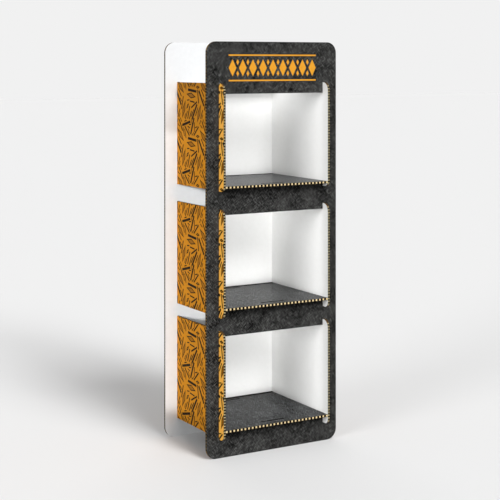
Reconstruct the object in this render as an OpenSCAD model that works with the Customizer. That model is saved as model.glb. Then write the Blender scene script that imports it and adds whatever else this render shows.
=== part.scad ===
// Floor display stand of fluted cardboard: two upright window frames, three folded U sleeves
// that pass through both frames, and three shelves that drop over tabs on the frames' sills.
// Millimetres. X runs to the right, Y to the back and Z up, with the floor at Z = 0.
// The origin lies on the floor, midway across the width and the depth.

/* [Frames] */
// Width of a frame
stand_w = 520; // [460:5:620]
// Floor to the lowest sill
foot_h = 90.5; // [70:0.5:140]
// Top of a shelf to the upper edge of its window
window_h = 308.5; // [240:0.5:380]
// Height of the rail between two windows
rail_h = 91.5; // [76:0.5:140]
// Height of the header above the uppermost window
header_h = 177; // [110:1:320]
// Radius of a frame's four corners
frame_r = 37; // [10:1:60]
// Clear distance between the two frames
frame_gap = 299; // [220:1:400]
// Side edge of a frame to the outer face of a sleeve
wall_inset = 47.5; // [36:0.5:80]

/* [Board] */
// Thickness of the board
board_t = 8; // [6:0.5:10]
// Thickness of the paper liner on each side of the flutes
liner_t = 0.8; // [0.5:0.1:1.2]

/* [Sleeves] */
// How far sleeves and shelves stand out in front of the front frame
overhang = 32; // [26:1:45]
// Rear frame to the back wall of a sleeve
back_room = 30; // [16:1:45]
// How far a sleeve reaches below the top of its shelf
sleeve_drop = 34.5; // [32:0.5:44]
// How far a sleeve reaches above its window
sleeve_rise = 20; // [12:0.5:28]
// How much higher the uppermost sleeve sits in its window than the others do
upper_lift = 16; // [0:0.5:20]
// Radius of a side wall's upper front corner
upper_corner_r = 27; // [6:1:30]
// Radius of a side wall's lower front corner
lower_corner_r = 18; // [6:1:30]
// Inside radius of a fold
fold_r = 1.5; // [0.5:0.5:4]

/* [Shelves] */
// Length of the tab on a sill
tab_w = 91; // [60:1:160]
// Top of a tab to the top of the shelf around it
tab_recess = 3; // [1:0.5:4]
// Slant that takes off a tab's upper corners
tab_chamfer = 1.5; // [0.5:0.5:1.5]

/* [Fits] */
// Play on each side of a board in its slot
slot_clear = 0.4; // [0.2:0.1:0.8]
// Free height above a sleeve in its slot
slot_play = 1; // [0.5:0.5:4]
// Gap between a shelf and the sleeve around it
shelf_clear = 0.5; // [0.2:0.1:0.9]

/* [Flutes] */
// Spacing of the flutes in a frame
frame_flute = 10.5; // [8:0.1:20]
// Spacing of the flutes in a sleeve
sleeve_flute = 9.7; // [8:0.1:20]
// Spacing of the flutes in a shelf
shelf_flute = 14.3; // [8:0.1:24]
// Part of a flute's spacing that its mouth takes, the rest being a rib
mouth_share = 0.58; // [0.4:0.02:0.7]
// How far in from a cut edge the flutes are open
mouth_depth = 18; // [6:1:22]
// Least solid board between the end of an edge and its first flute
end_rib = 4; // [2:0.5:10]

/* [Hidden] */

// Levels, counted from the floor
LOWER = 0;
MIDDLE = 1;
UPPER = 2;
LEVELS = [LOWER, MIDDLE, UPPER];

// Rise from one level to the next, and height of a frame
level_pitch = board_t + window_h + rail_h;
stand_h = foot_h + UPPER * level_pitch + board_t + window_h + header_h;

// Outer and inner face of a sleeve's right side wall
wall_x = stand_w / 2 - wall_inset;
inner_x = wall_x - board_t;

// Front edge of the sleeves, front faces of the two frames, inner face of the sleeves' back wall
stand_d = overhang + board_t + frame_gap + board_t + back_room + board_t;
front_y = -stand_d / 2;
front_frame_y = front_y + overhang;
rear_frame_y = front_frame_y + board_t + frame_gap;
back_y = rear_frame_y + board_t + back_room;

sleeve_h = sleeve_drop + window_h + sleeve_rise;
shelf_w = 2 * (inner_x - shelf_clear);
shelf_d = back_y - shelf_clear - front_y;
tab_h = board_t - tab_recess;

// A flute's mouth fills the board between its two liners
mouth_t = board_t - 2 * liner_t;

// Length by which a cutting shape runs past the face that it cuts
cut = 1;
$fn = 96;

// Top of a sill, which carries a shelf, and lower edge of a sleeve
function sill_z(level) = foot_h + level * level_pitch;
function sleeve_z(level) = sill_z(level) + board_t - sleeve_drop + (level == UPPER ? upper_lift : 0);

// Middles of the flute mouths along an edge, spread evenly about the middle of the edge
function mouth_places(length, spacing, mouth_w) =
    let (steps = floor((length - 2 * end_rib - mouth_w) / spacing))
    [for (i = [0 : steps]) length / 2 + (i - steps / 2) * spacing];

// How far a corner of radius r has drawn an edge in, at a distance d from the edge's end
function corner_inset(r, d) = d >= r ? 0 : r - sqrt(r * r - (r - d) * (r - d));

// What a rounded corner takes off a square one that has its tip at the origin
module corner_cut(r) {
    difference() {
        translate([-cut, -cut]) square(r + cut);
        translate([r, r]) circle(r);
    }
}

// Open flutes along an upright edge that runs up from the origin, going in along +X from X = 0.
// The board lies in the XZ plane, from Y = 0 back. low_r and high_r round the edge's two ends.
// In the outer half of such a corner the cut runs along the flutes, so that none opens there.
module upright_mouths(length, spacing, mouth_w, low_r, high_r) {
    for (z = mouth_places(length, spacing, mouth_w))
        if (z > low_r / 2 && z < length - high_r / 2) {
            inset = max(corner_inset(low_r, z), corner_inset(high_r, length - z));
            translate([-cut, liner_t, z - mouth_w / 2])
                cube([cut + inset + mouth_depth, mouth_t, mouth_w]);
        }
}

// Opening in a frame for one level, drawn in X and Z: the window between the sleeve's side walls,
// and an upright slot for each wall that is longer than the window at both ends
module window(level) {
    slot_w = board_t + 2 * slot_clear;
    half_w = wall_x + slot_clear;
    translate([-half_w, sill_z(level)]) square([2 * half_w, board_t + window_h]);
    for (x = [-half_w, half_w - slot_w])
        translate([x, sleeve_z(level)]) square([slot_w, sleeve_h + slot_play]);
}

// Tab on a sill, drawn in X and Z, which reaches down into the board below it by its own height
module sill_tab(level) {
    half_w = tab_w / 2;
    translate([0, sill_z(level)]) polygon([
        [-half_w, -tab_h], [half_w, -tab_h],
        [half_w, tab_h - tab_chamfer], [half_w - tab_chamfer, tab_h],
        [tab_chamfer - half_w, tab_h], [-half_w, tab_h - tab_chamfer],
    ]);
}

// One frame, seen from the front in X and Z
module frame_outline() {
    difference() {
        translate([-stand_w / 2, 0]) square([stand_w, stand_h]);
        for (side = [0, 1], top = [0, 1])
            mirror([side, 0]) translate([-stand_w / 2, top * stand_h]) mirror([0, top]) corner_cut(frame_r);
        for (level = LEVELS) window(level);
    }
    for (level = LEVELS) sill_tab(level);
}

// A frame with its front face at Y = y. Its flutes run across and are open at both side edges.
// They open in pairs, with every second rib left out, so that the long edges keep few faces.
module frame(y) {
    translate([0, y, 0]) difference() {
        translate([0, board_t, 0]) rotate([90, 0, 0]) linear_extrude(board_t) frame_outline();
        for (side = [0, 1])
            mirror([side, 0, 0]) translate([-stand_w / 2, 0, 0])
                upright_mouths(stand_h, 2 * frame_flute, (1 + mouth_share) * frame_flute, frame_r, frame_r);
    }
}

// A fold of the sheet, drawn in X and Y: a quarter of a ring about the origin
module fold() {
    intersection() {
        difference() {
            circle(fold_r + board_t);
            circle(fold_r);
        }
        square(fold_r + board_t + cut);
    }
}

// Right half of a sleeve, seen from above: side wall, fold and half of the back wall
module half_sleeve_plan() {
    fold_x = inner_x - fold_r;
    fold_y = back_y - fold_r;
    translate([inner_x, front_y]) square([board_t, fold_y - front_y]);
    translate([fold_x, fold_y]) fold();
    translate([0, back_y]) square([fold_x, board_t]);
}

// A sleeve's side wall in Y and Z, from its front edge back, with both front corners rounded
module wall_outline() {
    difference() {
        square([stand_d, sleeve_h]);
        corner_cut(lower_corner_r);
        translate([0, sleeve_h]) mirror([0, 1]) corner_cut(upper_corner_r);
    }
}

// A sleeve is one sheet with two upright folds. Its flutes run around the U and are open at the
// front edges of both side walls.
module sleeve(level) {
    translate([0, 0, sleeve_z(level)]) difference() {
        intersection() {
            linear_extrude(sleeve_h) {
                half_sleeve_plan();
                mirror([1, 0]) half_sleeve_plan();
            }
            translate([-wall_x - cut, front_y, 0]) rotate([90, 0, 90])
                linear_extrude(2 * (wall_x + cut)) wall_outline();
        }
        for (side = [0, 1])
            mirror([side, 0, 0]) translate([wall_x, front_y, 0]) rotate([0, 0, 90])
                upright_mouths(sleeve_h, sleeve_flute, mouth_share * sleeve_flute,
                    lower_corner_r, upper_corner_r);
    }
}

// A shelf, seen from above, with a slot for each frame's tab and its rear corners rounded to clear
// the sleeve's folds
module shelf_outline() {
    difference() {
        translate([-shelf_w / 2, front_y]) square([shelf_w, shelf_d]);
        for (y = [front_frame_y, rear_frame_y])
            translate([-tab_w / 2 - slot_clear, y - slot_clear])
                square([tab_w + 2 * slot_clear, board_t + 2 * slot_clear]);
        for (side = [0, 1])
            mirror([side, 0]) translate([-shelf_w / 2, front_y + shelf_d]) mirror([0, 1]) corner_cut(fold_r);
    }
}

// A shelf lies on the sills of both frames. Its flutes run from front to back and are open in front.
module shelf(level) {
    mouth_w = mouth_share * shelf_flute;
    translate([0, 0, sill_z(level)]) difference() {
        linear_extrude(board_t) shelf_outline();
        for (x = mouth_places(shelf_w, shelf_flute, mouth_w))
            translate([x - shelf_w / 2 - mouth_w / 2, front_y - cut, liner_t])
                cube([mouth_w, cut + mouth_depth, mouth_t]);
    }
}

module front_frame() color("#3d3d3f") frame(front_frame_y);
module rear_frame() color("#f2f2f0") frame(rear_frame_y);
module upper_sleeve() color("#d9942c") sleeve(UPPER);
module middle_sleeve() color("#d9942c") sleeve(MIDDLE);
module lower_sleeve() color("#d9942c") sleeve(LOWER);
module upper_shelf() color("#6b6b6d") shelf(UPPER);
module middle_shelf() color("#6b6b6d") shelf(MIDDLE);
module lower_shelf() color("#6b6b6d") shelf(LOWER);

front_frame();
rear_frame();
upper_sleeve();
middle_sleeve();
lower_sleeve();
upper_shelf();
middle_shelf();
lower_shelf();
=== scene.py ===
# Floor display stand of fluted cardboard: two window frames, three folded sleeves and three shelves.
import math
import random

import bmesh
import bpy
from mathutils import Matrix, Vector


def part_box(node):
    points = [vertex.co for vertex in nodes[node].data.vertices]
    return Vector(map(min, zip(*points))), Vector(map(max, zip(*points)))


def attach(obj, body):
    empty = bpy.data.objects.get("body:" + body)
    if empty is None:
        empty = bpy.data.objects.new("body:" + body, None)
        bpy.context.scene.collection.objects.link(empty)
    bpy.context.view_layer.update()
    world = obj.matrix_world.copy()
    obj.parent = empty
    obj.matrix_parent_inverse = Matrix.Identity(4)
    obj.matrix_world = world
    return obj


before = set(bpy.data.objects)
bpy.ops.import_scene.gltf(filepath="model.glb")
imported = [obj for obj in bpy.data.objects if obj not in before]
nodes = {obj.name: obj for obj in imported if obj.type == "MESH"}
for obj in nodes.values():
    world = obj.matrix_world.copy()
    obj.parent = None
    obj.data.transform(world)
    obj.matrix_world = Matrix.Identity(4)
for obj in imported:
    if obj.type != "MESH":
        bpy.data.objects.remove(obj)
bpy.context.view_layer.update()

# Rear frame: an upright sheet of fluted board, die cut with three windows and left unprinted.
# White liners are glued to both sides of the kraft flutes. The flutes run across, so the two long
# side edges show them open, with a paper rib after each.
MM = 0.001
BOARD_T = 8 * MM
LINER_T = 0.8 * MM
FRAME_R = 37 * MM
FRAME_FLUTE = 10.5 * MM
MOUTH_SHARE = 0.58
MOUTH_DEPTH = 18 * MM
END_RIB = 4 * MM
# How far a rib stands back from the paper around it
RIB_PLAY = 0.1 * MM
# Share of a face's normal along an axis from which the face counts as square to it, as looking
# along it, or as cut along the flutes rather than across them
SQUARE = 0.99
FACING = 0.9
ALONG = 0.6
# Kraft where the board is cut along its flutes and the channel between the liners shows, in a dark
# and a bright tone: painted darker than the kraft cut across, as painted shade in the channel
SPLIT_KRAFT = ("#2a1c0e", "#6b4f2a")
# Depth in a flute at which its paper is painted darkest, as painted shade
FADE = 3 * MM


def linear(colour):
    """Turns an sRGB hex colour into the linear colour that a shader takes."""
    channels = [int(colour[i:i + 2], 16) / 255 for i in (1, 3, 5)]
    return [c / 12.92 if c <= 0.04045 else ((c + 0.055) / 1.055) ** 2.4 for c in channels] + [1]


def feed(tree, socket, value):
    """Gives an input a plain value, or links it to an output or to a node's first output in use."""
    if isinstance(value, bpy.types.Node):
        value = next(output for output in value.outputs if output.enabled)
    if isinstance(value, bpy.types.NodeSocket):
        tree.links.new(value, socket)
    else:
        socket.default_value = value


def add_node(tree, kind, inputs, **settings):
    """Adds a shader node. Its inputs are named, or counted where they share a name."""
    node = tree.nodes.new("ShaderNode" + kind)
    for setting, value in settings.items():
        setattr(node, setting, value)
    in_use = [socket for socket in node.inputs if socket.enabled]
    for name, value in inputs.items():
        socket = in_use[name] if isinstance(name, int) else next(s for s in in_use if s.name == name)
        feed(tree, socket, value)
    return node


def start_paper(name, roughness, specular):
    """Starts a paper finish and returns it with its node tree, shader and object coordinates."""
    finish = bpy.data.materials.new(name)
    finish.use_nodes = True
    tree = finish.node_tree
    shader = tree.nodes["Principled BSDF"]
    shader.inputs["Roughness"].default_value = roughness
    shader.inputs["Specular IOR Level"].default_value = specular
    place = add_node(tree, "TexCoord", {}).outputs["Object"]
    return finish, tree, shader, place


def finish_paper(tree, shader, place, colour, fibre, rise):
    """Gives a paper its colour, and a fibrous surface with lumps that are fibre across and rise high."""
    feed(tree, shader.inputs["Base Color"], colour)
    lumps = add_node(tree, "TexNoise", {"Vector": place, "Scale": 1 / fibre, "Detail": 3})
    bump = add_node(tree, "Bump", {"Height": lumps, "Distance": rise})
    feed(tree, shader.inputs["Normal"], bump)


def white_paper(name, roughness, cloudy, clear):
    """White paper, calendered matt: even and bright, with a trace of cloudy fibre."""
    finish, tree, shader, place = start_paper(name, roughness, specular=0.15)
    cloud = add_node(tree, "TexNoise", {"Vector": place, "Scale": 1 / (14 * MM), "Detail": 4})
    white = {"Factor": cloud, "A": linear(cloudy), "B": linear(clear)}
    colour = add_node(tree, "Mix", white, data_type="RGBA")
    # Real fibres are a tenth of this length and would not show
    finish_paper(tree, shader, place, colour, fibre=2 * MM, rise=0.05 * MM)
    return finish


def kraft_edge(name, axis, middle, shaded, bright):
    """Brown board cut with a knife, seen from its edge: flecked kraft between two dark liners.
    The board's thickness lies along the axis, about middle, alike on both sides of the stand."""
    finish, tree, shader, place = start_paper(name, roughness=0.8, specular=0.1)
    fleck = add_node(tree, "TexNoise", {"Vector": place, "Scale": 1 / (3 * MM), "Detail": 4})
    kraft = {"Factor": fleck, "A": linear(shaded), "B": linear(bright)}
    core = add_node(tree, "Mix", kraft, data_type="RGBA")
    split = add_node(tree, "SeparateXYZ", {"Vector": place})
    out = add_node(tree, "Math", {0: split.outputs[axis]}, operation="ABSOLUTE")
    inside = {0: out, 1: middle, 2: BOARD_T / 2 - LINER_T}
    in_core = add_node(tree, "Math", inside, operation="COMPARE")
    edge = {"Factor": in_core, "A": linear("#33241a"), "B": core}
    colour = add_node(tree, "Mix", edge, data_type="RGBA")
    finish_paper(tree, shader, place, colour, fibre=1.5 * MM, rise=0.1 * MM)
    return finish


def kraft_hollow(name, axis, mouth):
    """Brown kraft inside a flute, painted as shade. A real flute is a tunnel as long as the board, so
    light
    is lost in it: the paper is painted from a dark brown at the mouth to almost black a little way in."""
    finish, tree, shader, place = start_paper(name, roughness=0.9, specular=0.1)
    fibre = add_node(tree, "TexNoise", {"Vector": place, "Scale": 1 / (3 * MM), "Detail": 3})
    kraft = {"Factor": fibre, "A": linear("#0e0804"), "B": linear("#1a1108")}
    paper = add_node(tree, "Mix", kraft, data_type="RGBA")
    split = add_node(tree, "SeparateXYZ", {"Vector": place})
    out = add_node(tree, "Math", {0: split.outputs[axis]}, operation="ABSOLUTE")
    fade = add_node(tree, "MapRange", {"Value": out, "From Min": mouth, "From Max": mouth - FADE})
    tunnel = {"Factor": fade, "A": paper, "B": linear("#040201")}
    colour = add_node(tree, "Mix", tunnel, data_type="RGBA")
    finish_paper(tree, shader, place, colour, fibre=1.5 * MM, rise=0.1 * MM)
    return finish


def paint(node, choose):
    """Gives each face of a node the finish that choose picks from its middle and its normal."""
    mesh = nodes[node].data
    mesh.materials.clear()
    for face in mesh.polygons:
        finish = choose(face.center, face.normal)
        if finish.name not in mesh.materials:
            mesh.materials.append(finish)
        face.material_index = mesh.materials.find(finish.name)


def frame_faces(node, front, back, edges, hollow):
    """Picks a frame's finishes: two liners, edges cut across and along the flutes, open flutes."""
    low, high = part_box(node)
    across, along = edges

    def choose(middle, normal):
        depth = middle.y - low.y
        reach = abs(middle.x)
        if abs(normal.y) > FACING:
            if depth < LINER_T / 2:
                return front
            return back if depth > BOARD_T - LINER_T / 2 else hollow
        flute_side = abs(normal.z) > SQUARE and low.z + END_RIB < middle.z < high.z - END_RIB
        flute_end = abs(normal.x) > SQUARE and reach < high.x - LINER_T
        if reach > high.x - FRAME_R and (flute_side or flute_end):
            return hollow
        return along if abs(normal.z) > ALONG else across

    return choose


def frame_edges(node, shaded, bright):
    """The two finishes of a frame's cut edges: across the flutes, and along them, painted darker as
    shade.
    """
    low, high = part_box(node)
    middle = abs(low.y + high.y) / 2
    across = kraft_edge("kraft_" + node + "_edge", "Y", middle, shaded, bright)
    along = kraft_edge("kraft_" + node + "_split_edge", "Y", middle, *SPLIT_KRAFT)
    return across, along


def frame_ribs(node, across, hollow):
    """Paper ribs that halve the open flutes of a frame's node, so that its sides show every flute."""
    low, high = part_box(node)
    height = high.z - low.z
    mouth_h = (1 + MOUTH_SHARE) * FRAME_FLUTE
    steps = math.floor((height - 2 * END_RIB - mouth_h) / (2 * FRAME_FLUTE))
    rib_h = (1 - MOUTH_SHARE) * FRAME_FLUTE
    size = (MOUTH_DEPTH - 2 * RIB_PLAY, BOARD_T - 2 * (LINER_T + RIB_PLAY), rib_h)
    shape = bmesh.new()
    for step in range(steps + 1):
        z = (low.z + high.z) / 2 + (step - steps / 2) * 2 * FRAME_FLUTE
        if FRAME_R < z - low.z < height - FRAME_R:
            for side in (-1, 1):
                middle = (side * (high.x - MOUTH_DEPTH / 2), (low.y + high.y) / 2, z)
                bmesh.ops.create_cube(shape, size=1, matrix=Matrix.LocRotScale(middle, None, size))
    mesh = bpy.data.meshes.new(node + "_ribs")
    shape.to_mesh(mesh)
    shape.free()
    mesh.materials.append(across)
    mesh.materials.append(hollow)
    for face in mesh.polygons:
        face.material_index = 0 if abs(face.center.x) > high.x - LINER_T else 1
    ribs = bpy.data.objects.new(node + "_ribs", mesh)
    bpy.context.scene.collection.objects.link(ribs)
    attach(ribs, "root")


# The frames' white liner is painted a little greyer than the sleeves' inside: a shaded copy of one white
# paper, so that the frames do not glare where light falls full on them.
liner = white_paper("white_liner_shaded_copy", roughness=0.7, cloudy="#e6e7e8", clear="#eff0f1")
frame_hollow = kraft_hollow("kraft_frame_hollow_painted_shade", "X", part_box("rear_frame")[1].x)
# The rear frame's cut edges are painted darker than the front frame's: painted shade on the same kraft,
# against the left light that falls full on them.
rear_edges = frame_edges("rear_frame", "#4a3c24", "#685636")
paint("rear_frame", frame_faces("rear_frame", liner, liner, rear_edges, frame_hollow))
frame_ribs("rear_frame", rear_edges[0], frame_hollow)

# Front frame: the same die-cut board, with a dark slate print on its front liner and white behind.
# The header above the uppermost window is printed with an amber frieze of lozenges and two rules.
FRIEZE_Z = 1311 * MM
FRIEZE_COUNT = 9
FRIEZE_PITCH = 40 * MM
TALL_LOZENGE = (30 * MM, 58 * MM)
SMALL_LOZENGE = (11 * MM, 20 * MM)
RULE = (350 * MM, 5 * MM)
RULE_RISE = 43 * MM
# How the two distances from a shape's middle join: the greater makes a bar, the sum a lozenge
BAR = "MAXIMUM"
LOZENGE = "ADD"
# Slate picture: the sizes of its cloudy patches and its mottle, the weight of the patches against the
# mottle, and the sum of both at which it is darkest and palest
PATCH = 60 * MM
MOTTLE = 3.6 * MM
PATCH_WEIGHT = 3.6
DARKEST = 1.65
PALEST = 2.95
# Its strokes: their slants, their width, how many times longer than wide they are, the noise at which
# they start and are full, and the share of their own colour that they reach
STROKE_TURNS = (math.radians(38), math.radians(-52))
STROKE_W = 2.4 * MM
STROKE_STRETCH = 8
STROKE_START = 0.52
STROKE_FULL = 0.74
STROKE_INK = 0.3


def sheet_plane(tree, place, across, up):
    """The two axes that lie in a sheet, as flat coordinates."""
    split = add_node(tree, "SeparateXYZ", {"Vector": place})
    return add_node(tree, "CombineXYZ", {"X": split.outputs[across], "Y": split.outputs[up]})


def inked(tree, plane, shapes, repeat=0):
    """1 where one of the shapes is printed, 0 elsewhere, once or all over at a repeat. A shape is
    its outline, the x and y of its middle, its length and width, and the turn of its length from x."""
    ink = 0
    for outline, x, y, length, width, turn in shapes:
        near = plane
        if repeat:
            high = (x + repeat / 2, y + repeat / 2, 1)
            low = (x - repeat / 2, y - repeat / 2, -1)
            near = add_node(tree, "VectorMath", {0: plane, 1: high, 2: low}, operation="WRAP")
        own = add_node(tree, "Mapping", {
            "Vector": near,
            "Location": (x, y, 0),
            "Rotation": (0, 0, turn),
            "Scale": (length / 2, width / 2, 1),
        }, vector_type="TEXTURE")
        away = add_node(tree, "VectorMath", {0: own}, operation="ABSOLUTE")
        split = add_node(tree, "SeparateXYZ", {"Vector": away})
        reach = add_node(tree, "Math", {0: split.outputs["X"], 1: split.outputs["Y"]}, operation=outline)
        inside = add_node(tree, "Math", {0: reach, 1: 1}, operation="LESS_THAN")
        ink = add_node(tree, "Math", {0: inside, 1: ink}, operation="MAXIMUM")
    return ink


def slate_colour(tree, plane, dark, pale, stroke):
    """Picture of worn slate: cloudy patches, a fine mottle, and pale strokes both ways."""
    patches = add_node(tree, "TexNoise", {"Vector": plane, "Scale": 1 / PATCH, "Detail": 4})
    mottle = add_node(tree, "TexNoise", {"Vector": plane, "Scale": 1 / MOTTLE, "Detail": 3})
    tone = add_node(tree, "Math", {0: patches, 1: PATCH_WEIGHT, 2: mottle}, operation="MULTIPLY_ADD")
    depth = add_node(tree, "MapRange", {"Value": tone, "From Min": DARKEST, "From Max": PALEST})
    ground = {"Factor": depth, "A": linear(dark), "B": linear(pale)}
    colour = add_node(tree, "Mix", ground, data_type="RGBA")
    for turn in STROKE_TURNS:
        slanted = {"Vector": plane, "Rotation": (0, 0, turn), "Scale": (STROKE_STRETCH, 1, 1)}
        along = add_node(tree, "Mapping", slanted, vector_type="TEXTURE")
        streaks = add_node(tree, "TexNoise", {"Vector": along, "Scale": 1 / STROKE_W, "Detail": 1})
        strokes = add_node(tree, "MapRange", {
            "Value": streaks,
            "From Min": STROKE_START,
            "From Max": STROKE_FULL,
            "To Max": STROKE_INK,
        })
        drawn = {"Factor": strokes, "A": colour, "B": linear(stroke)}
        colour = add_node(tree, "Mix", drawn, data_type="RGBA")
    return colour


def matt_slate_print(shapes):
    """Offset print under a matt varnish: dark slate with amber shapes, soft and almost without shine."""
    finish, tree, shader, place = start_paper("matt_slate_print", roughness=0.6, specular=0.02)
    plane = sheet_plane(tree, place, "X", "Z")
    slate = slate_colour(tree, plane, "#070707", "#353534", "#979795")
    cloud = add_node(tree, "TexNoise", {"Vector": plane, "Scale": 1 / (12 * MM), "Detail": 4})
    warm = {"Factor": cloud, "A": linear("#dd9526"), "B": linear("#f0ac3c")}
    amber = add_node(tree, "Mix", warm, data_type="RGBA")
    printed = {"Factor": inked(tree, plane, shapes), "A": slate, "B": amber}
    colour = add_node(tree, "Mix", printed, data_type="RGBA")
    finish_paper(tree, shader, place, colour, fibre=2 * MM, rise=0.05 * MM)
    return finish


frieze = []
for i in range(FRIEZE_COUNT):
    x = (i - (FRIEZE_COUNT - 1) / 2) * FRIEZE_PITCH
    frieze.append((LOZENGE, x, FRIEZE_Z, *TALL_LOZENGE, 0))
for i in range(FRIEZE_COUNT - 1):
    x = (i + 1 - FRIEZE_COUNT / 2) * FRIEZE_PITCH
    for side in (-1, 1):
        frieze.append((LOZENGE, x, FRIEZE_Z + side * TALL_LOZENGE[1] / 3, *SMALL_LOZENGE, 0))
for side in (-1, 1):
    frieze.append((BAR, 0, FRIEZE_Z + side * RULE_RISE, *RULE, 0))
front_edges = frame_edges("front_frame", "#6b5733", "#917747")
front_print = matt_slate_print(frieze)
paint("front_frame", frame_faces("front_frame", front_print, liner, front_edges, frame_hollow))
frame_ribs("front_frame", front_edges[0], frame_hollow)

# Sleeves: three sheets, each folded twice into a U and pushed from behind through both frames.
# They are white inside, painted a little brighter than the frames' white as painted light. Outside
# they are ochre, with a close scatter of dark strokes and bars and of brown lozenges with a dark
# outline. The tongues in front of the frame are painted a lighter ochre, as painted light.
SLEEVES = ("upper_sleeve", "middle_sleeve", "lower_sleeve")
REPEAT = 170 * MM
OUTLINE = 3.4 * MM
SHAPE_GAP = 1 * MM
# Where along a shape, in parts of its length, the discs stand that keep other shapes off it
DISC_SHARES = (-0.44, -0.22, 0, 0.22, 0.44)
SCATTER_SEED = 11
SCATTER_TRIES = 600
# Outer radius of a fold
FOLD_R = 9.5 * MM
# Depth from the front edge in which the flutes are open
OPEN_FRONT = 32 * MM


def apart(disc, other):
    """Whether two discs of the repeat stay clear of each other, also across its borders."""
    gaps = [(disc[i] - other[i] + REPEAT / 2) % REPEAT - REPEAT / 2 for i in (0, 1)]
    return math.hypot(*gaps) > disc[2] + other[2]


def scatter(kinds):
    """Sets out one repeat of the print: each shape at a random place and turn, clear of the others."""
    draw = random.Random(SCATTER_SEED)
    placed = []
    taken = []
    for outline, length, width in kinds:
        for _ in range(SCATTER_TRIES):
            x = draw.uniform(0, REPEAT)
            y = draw.uniform(0, REPEAT)
            turn = draw.uniform(0, math.pi)
            radius = width / 2 + SHAPE_GAP
            own = [
                (x + share * length * math.cos(turn), y + share * length * math.sin(turn), radius)
                for share in DISC_SHARES
            ]
            if all(apart(disc, other) for disc in own for other in taken):
                placed.append((outline, x, y, length, width, turn))
                taken += own
                break
    return placed


PRINT = scatter(
    [(BAR, 64 * MM, 9 * MM)] * 5
    + [(LOZENGE, 70 * MM, 21 * MM)] * 5
    + [(BAR, 48 * MM, 6 * MM)] * 7
    + [(LOZENGE, 48 * MM, 16 * MM)] * 10
    + [(BAR, 34 * MM, 5 * MM)] * 10
    + [(LOZENGE, 28 * MM, 12 * MM)] * 14
    + [(BAR, 18 * MM, 4 * MM)] * 16
)


def ochre_print(name, across):
    """Flexo print on coated paper with a satin varnish: warm ochre, dark and brown shapes on it."""
    finish, tree, shader, place = start_paper(name, roughness=0.5, specular=0.05)
    plane = sheet_plane(tree, place, across, "Z")
    cloud = add_node(tree, "TexNoise", {"Vector": plane, "Scale": 1 / (20 * MM), "Detail": 4})
    warm = {"Factor": cloud, "A": linear("#b2740e"), "B": linear("#c6831a")}
    ochre = add_node(tree, "Mix", warm, data_type="RGBA")
    # The tongues in front of the frame are painted a lighter ochre: painted light, where the front light
    # falls on them unshaded by the frame.
    split = add_node(tree, "SeparateXYZ", {"Vector": place})
    frame_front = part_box("front_frame")[0].y
    before = {0: split.outputs["Y"], 1: frame_front}
    painted_light_on_tongue = add_node(tree, "Math", before, operation="LESS_THAN")
    lighter = {"Factor": painted_light_on_tongue, "A": ochre, "B": linear("#ffbc52")}
    ground = add_node(tree, "Mix", lighter, data_type="RGBA")
    dark = {"Factor": inked(tree, plane, PRINT, REPEAT), "A": ground, "B": linear("#160e04")}
    outlined = add_node(tree, "Mix", dark, data_type="RGBA")
    fills = [
        (outline, x, y, length - 2 * OUTLINE * length / width, width - 2 * OUTLINE, turn)
        for outline, x, y, length, width, turn in PRINT if outline == LOZENGE
    ]
    brown = {"Factor": inked(tree, plane, fills, REPEAT), "A": outlined, "B": linear("#8f5c12")}
    colour = add_node(tree, "Mix", brown, data_type="RGBA")
    finish_paper(tree, shader, place, colour, fibre=2 * MM, rise=0.05 * MM)
    return finish


def sleeve_faces(node, finishes):
    """Picks a sleeve's finishes: print outside, white inside, cut edges, and the open flutes."""
    low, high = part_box(node)
    wall_middle = high.x - BOARD_T / 2

    def choose(middle, normal):
        outward = normal.x if middle.x > 0 else -normal.x
        if middle.y < low.y + OPEN_FRONT:
            if abs(normal.x) > FACING:
                if abs(abs(middle.x) - wall_middle) < BOARD_T / 2 - LINER_T / 2:
                    return finishes["hollow"]
                return finishes["side"] if outward > 0 else finishes["inside"]
            flute_side = abs(normal.z) > SQUARE and low.z + END_RIB < middle.z < high.z - END_RIB
            flute_end = normal.y < -SQUARE and middle.y > low.y + LINER_T
            if flute_side or flute_end:
                return finishes["hollow"]
            return finishes["side_split_edge"] if abs(normal.z) > ALONG else finishes["front_edge"]
        if abs(normal.z) > FACING:
            return finishes["side_split_edge" if middle.y < high.y - FOLD_R else "back_split_edge"]
        if outward + normal.y < 0:
            return finishes["inside"]
        return finishes["back" if normal.y > outward else "side"]

    return choose


sleeve_low, sleeve_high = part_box("upper_sleeve")
wall_x = sleeve_high.x - BOARD_T / 2
wall_y = sleeve_high.y - BOARD_T / 2
sleeve_finishes = {
    "side": ochre_print("ochre_print_side", "Y"),
    "back": ochre_print("ochre_print_back", "X"),
    # The sleeves' inside is the lit copy of the same white, painted brighter as painted light in the
    # bays.
    "inside": white_paper("white_liner_lit_copy", roughness=0.5, cloudy="#eeeeec", clear="#f4f4f3"),
    "front_edge": kraft_edge("kraft_sleeve_edge", "X", wall_x, "#a6966c", "#c2b897"),
    "side_split_edge": kraft_edge("kraft_sleeve_side_split_edge", "X", wall_x, *SPLIT_KRAFT),
    "back_split_edge": kraft_edge("kraft_sleeve_back_split_edge", "Y", wall_y, *SPLIT_KRAFT),
    "hollow": kraft_hollow("kraft_front_hollow_painted_shade", "Y", -sleeve_low.y),
}
for sleeve in SLEEVES:
    paint(sleeve, sleeve_faces(sleeve, sleeve_finishes))

# Shelves: three flat boards that lie on the frames' sills, with slots that drop over their tabs.
# The top is printed with the same slate, paler, drawn out in depth and varnished, and a painted
# shadow runs along its back edge. The flutes are open along the front.
SHELVES = ("upper_shelf", "middle_shelf", "lower_shelf")
TAB_W = 91 * MM
# Depth of the painted shadow along a shelf's back edge
BACK_SHADOW_W = 20 * MM
# How many times deeper than wide the slate picture is drawn, and the roughness of its varnish
PICTURE_STRETCH = 2.5
VARNISH = 0.25


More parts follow.
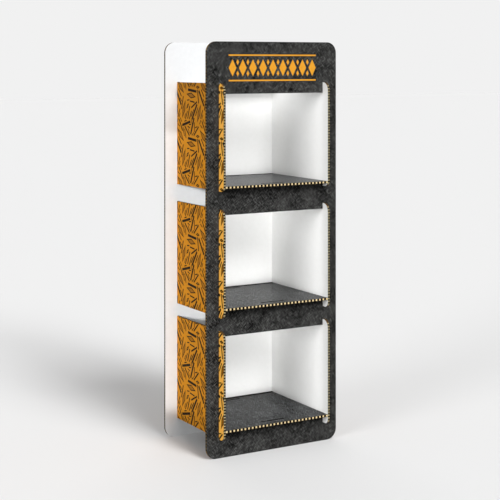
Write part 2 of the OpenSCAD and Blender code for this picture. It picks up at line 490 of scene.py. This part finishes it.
def varnished_slate_print(back):
    """Slate print under a smooth varnish: at a low angle it mirrors the white walls around it.
    Along the back edge runs a dark band without varnish: a painted shadow at the foot of the back wall."""
    finish, tree, shader, place = start_paper("varnished_slate_print", roughness=VARNISH, specular=0.02)
    plane = sheet_plane(tree, place, "X", "Y")
    stretched = {"Vector": plane, "Scale": (1, PICTURE_STRETCH, 1)}
    deep = add_node(tree, "Mapping", stretched, vector_type="TEXTURE")
    slate = slate_colour(tree, deep, "#0d0e0e", "#38393a", "#868889")
    split = add_node(tree, "SeparateXYZ", {"Vector": place})
    # The dark band along the back edge is painted shadow
    behind = {0: split.outputs["Y"], 1: back - BACK_SHADOW_W}
    border = add_node(tree, "Math", behind, operation="GREATER_THAN")
    edged = {"Factor": border, "A": slate, "B": linear("#14110e")}
    colour = add_node(tree, "Mix", edged, data_type="RGBA")
    matt = add_node(tree, "MapRange", {"Value": border, "To Min": VARNISH, "To Max": 1})
    feed(tree, shader.inputs["Roughness"], matt)
    finish_paper(tree, shader, place, colour, fibre=2 * MM, rise=0.03 * MM)
    return finish


def shelf_faces(node, top, under, edges, hollow):
    """Picks a shelf's finishes: printed top, white underside, cut edges, open flutes and slots."""
    low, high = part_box(node)
    across, along = edges

    def choose(middle, normal):
        if abs(normal.z) > FACING:
            if middle.z > high.z - LINER_T / 2:
                return top
            return under if middle.z < low.z + LINER_T / 2 else hollow
        if abs(middle.x) > high.x - LINER_T:
            return along
        # Slot walls take the flutes' painted shade, for the shade inside the narrow slots
        in_slot = abs(middle.x) < TAB_W and low.y + BOARD_T < middle.y < high.y - BOARD_T
        in_flute = middle.y < low.y + MOUTH_DEPTH + BOARD_T and middle.y > low.y + LINER_T
        return hollow if in_slot or in_flute else across

    return choose


slate_top = varnished_slate_print(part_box("upper_shelf")[1].y)
for shelf in SHELVES:
    shelf_low, shelf_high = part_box(shelf)
    shelf_z = (shelf_low.z + shelf_high.z) / 2
    shelf_edges = (
        kraft_edge("kraft_" + shelf + "_edge", "Z", shelf_z, "#d8be84", "#f0dcb0"),
        kraft_edge("kraft_" + shelf + "_split_edge", "Z", shelf_z, *SPLIT_KRAFT),
    )
    paint(shelf, shelf_faces(shelf, slate_top, liner, shelf_edges, sleeve_finishes["hollow"]))

# Studio: a wide pale floor without a seam and an even white surround. Soft lights stand far off, two
# in front, one low at the left and a weak one behind. Close to the stand, boxes with a grid light the
# rear frame from the left, in two parts, and each bay from the front.
FLOOR_REACH = 40
# Strength of the white surround as a light, and where it is looked at
SURROUND = 0.31
BACKDROP = 0.88
# Degrees to which a grid narrows a box's light, and the box's distance from its target
GRID_SPREAD = 6
BOX_DISTANCE = 220 * MM
# Boxes for the rear frame: their width, and the x and y beside the front frame past which they shine
REAR_BOX_W = 168 * MM
REAR_BOX_AIM = (-355 * MM, -160 * MM)
# Boxes for the bays: their strengths from the top down, their size, and the height above a shelf at
# which they are aimed
BAY_BOXES = (1.15, 2.05, 1.85)
BAY_BOX_SIZE = (340 * MM, 300 * MM)
BAY_BOX_RISE = 155 * MM


def looked_at(tree):
    """1 where the camera sees a surface directly, in a mirror or through glass, 0 for light it sheds."""
    rays = add_node(tree, "LightPath", {})
    seen = rays.outputs["Is Camera Ray"]
    for ray in ("Is Glossy Ray", "Is Transmission Ray"):
        seen = add_node(tree, "Math", {0: seen, 1: rays.outputs[ray]}, operation="MAXIMUM")
    return seen


def soft_light(name, strength, width, height, turn):
    """A far light of an apparent width, at a height above the floor and a turn to the right of the
    front, all three in degrees."""
    lamp = bpy.data.lights.new(name, "SUN")
    lamp.energy = strength
    lamp.angle = math.radians(width)
    light = bpy.data.objects.new(name, lamp)
    light.rotation_euler = (math.radians(90 - height), 0, math.radians(turn))
    bpy.context.scene.collection.objects.link(light)


def soft_box(name, strength, size, target, height, turn):
    """A rectangular light behind a grid, so that it lights what lies behind its target and hardly
    anything else. It stands at a height and a turn, in degrees, as a far light does."""
    lamp = bpy.data.lights.new(name, "AREA")
    lamp.shape = "RECTANGLE"
    lamp.size, lamp.size_y = size
    lamp.spread = math.radians(GRID_SPREAD)
    lamp.energy = strength * lamp.size * lamp.size_y
    light = bpy.data.objects.new(name, lamp)
    light.rotation_euler = (math.radians(90 - height), 0, math.radians(turn))
    aim = light.rotation_euler.to_matrix() @ Vector((0, 0, -1))
    light.location = Vector(target) - BOX_DISTANCE * aim
    light.visible_camera = False
    bpy.context.scene.collection.objects.link(light)


floor_mesh = bpy.data.meshes.new("floor")
floor_corners = [(-1, -1), (1, -1), (1, 1), (-1, 1)]
floor_points = [(x * FLOOR_REACH, y * FLOOR_REACH, 0) for x, y in floor_corners]
floor_mesh.from_pydata(floor_points, [], [(0, 1, 2, 3)])
floor_finish, floor_tree, floor_shader = start_paper("pale_studio_floor", roughness=1, specular=0)[:3]
# The floor sheds less light than it shows, so that shaded board keeps its depth
floor_seen = looked_at(floor_tree)
floor_tones = {"Factor": floor_seen, "A": linear("#606060"), "B": linear("#e1e1e1")}
floor_colour = add_node(floor_tree, "Mix", floor_tones, data_type="RGBA")
feed(floor_tree, floor_shader.inputs["Base Color"], floor_colour)
floor_mesh.materials.append(floor_finish)
floor = bpy.data.objects.new("floor", floor_mesh)
bpy.context.scene.collection.objects.link(floor)

world = bpy.data.worlds.new("surround")
bpy.context.scene.world = world
world.use_nodes = True
sky = world.node_tree
level = add_node(sky, "MapRange", {"Value": looked_at(sky), "To Min": SURROUND, "To Max": BACKDROP})
background = sky.nodes["Background"]
feed(sky, background.inputs["Color"], linear("#ffffff"))
feed(sky, background.inputs["Strength"], level)

soft_light("front_light", strength=1.05, width=14, height=31, turn=4)
soft_light("high_light", strength=1.8, width=26, height=49, turn=4)
soft_light("left_light", strength=1.92, width=26, height=12, turn=-70)
soft_light("back_light", strength=0.8, width=60, height=30, turn=155)
rear_boxes = (("rear_box", 1.7, 975 * MM, 633 * MM), ("rear_top_box", 0.75, 143 * MM, 1192 * MM))
for name, strength, tall, z in rear_boxes:
    soft_box(name, strength, (REAR_BOX_W, tall), (*REAR_BOX_AIM, z), height=8, turn=-30)
for shelf, strength in zip(SHELVES, BAY_BOXES):
    bay_low, bay_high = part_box(shelf)
    window = (0, bay_low.y, bay_high.z + BAY_BOX_RISE)
    soft_box(shelf + "_box", strength, BAY_BOX_SIZE, window, height=0, turn=-26)

# Camera: level, to the left of the display's front and a little below its top, with a long lens
# that is shifted down so that upright edges stay parallel.
lens = bpy.data.cameras.new("camera")
lens.sensor_width = 36
lens.lens = 94.034
lens.shift_y = -0.3761
camera = bpy.data.objects.new("camera", lens)
camera.location = (-2.33398, -3.99833, 1.33086)
camera.rotation_euler = (math.pi / 2, 0, math.radians(-30.294))
bpy.context.scene.collection.objects.link(camera)
bpy.context.scene.camera = camera
bpy.context.scene.view_settings.view_transform = "Standard"
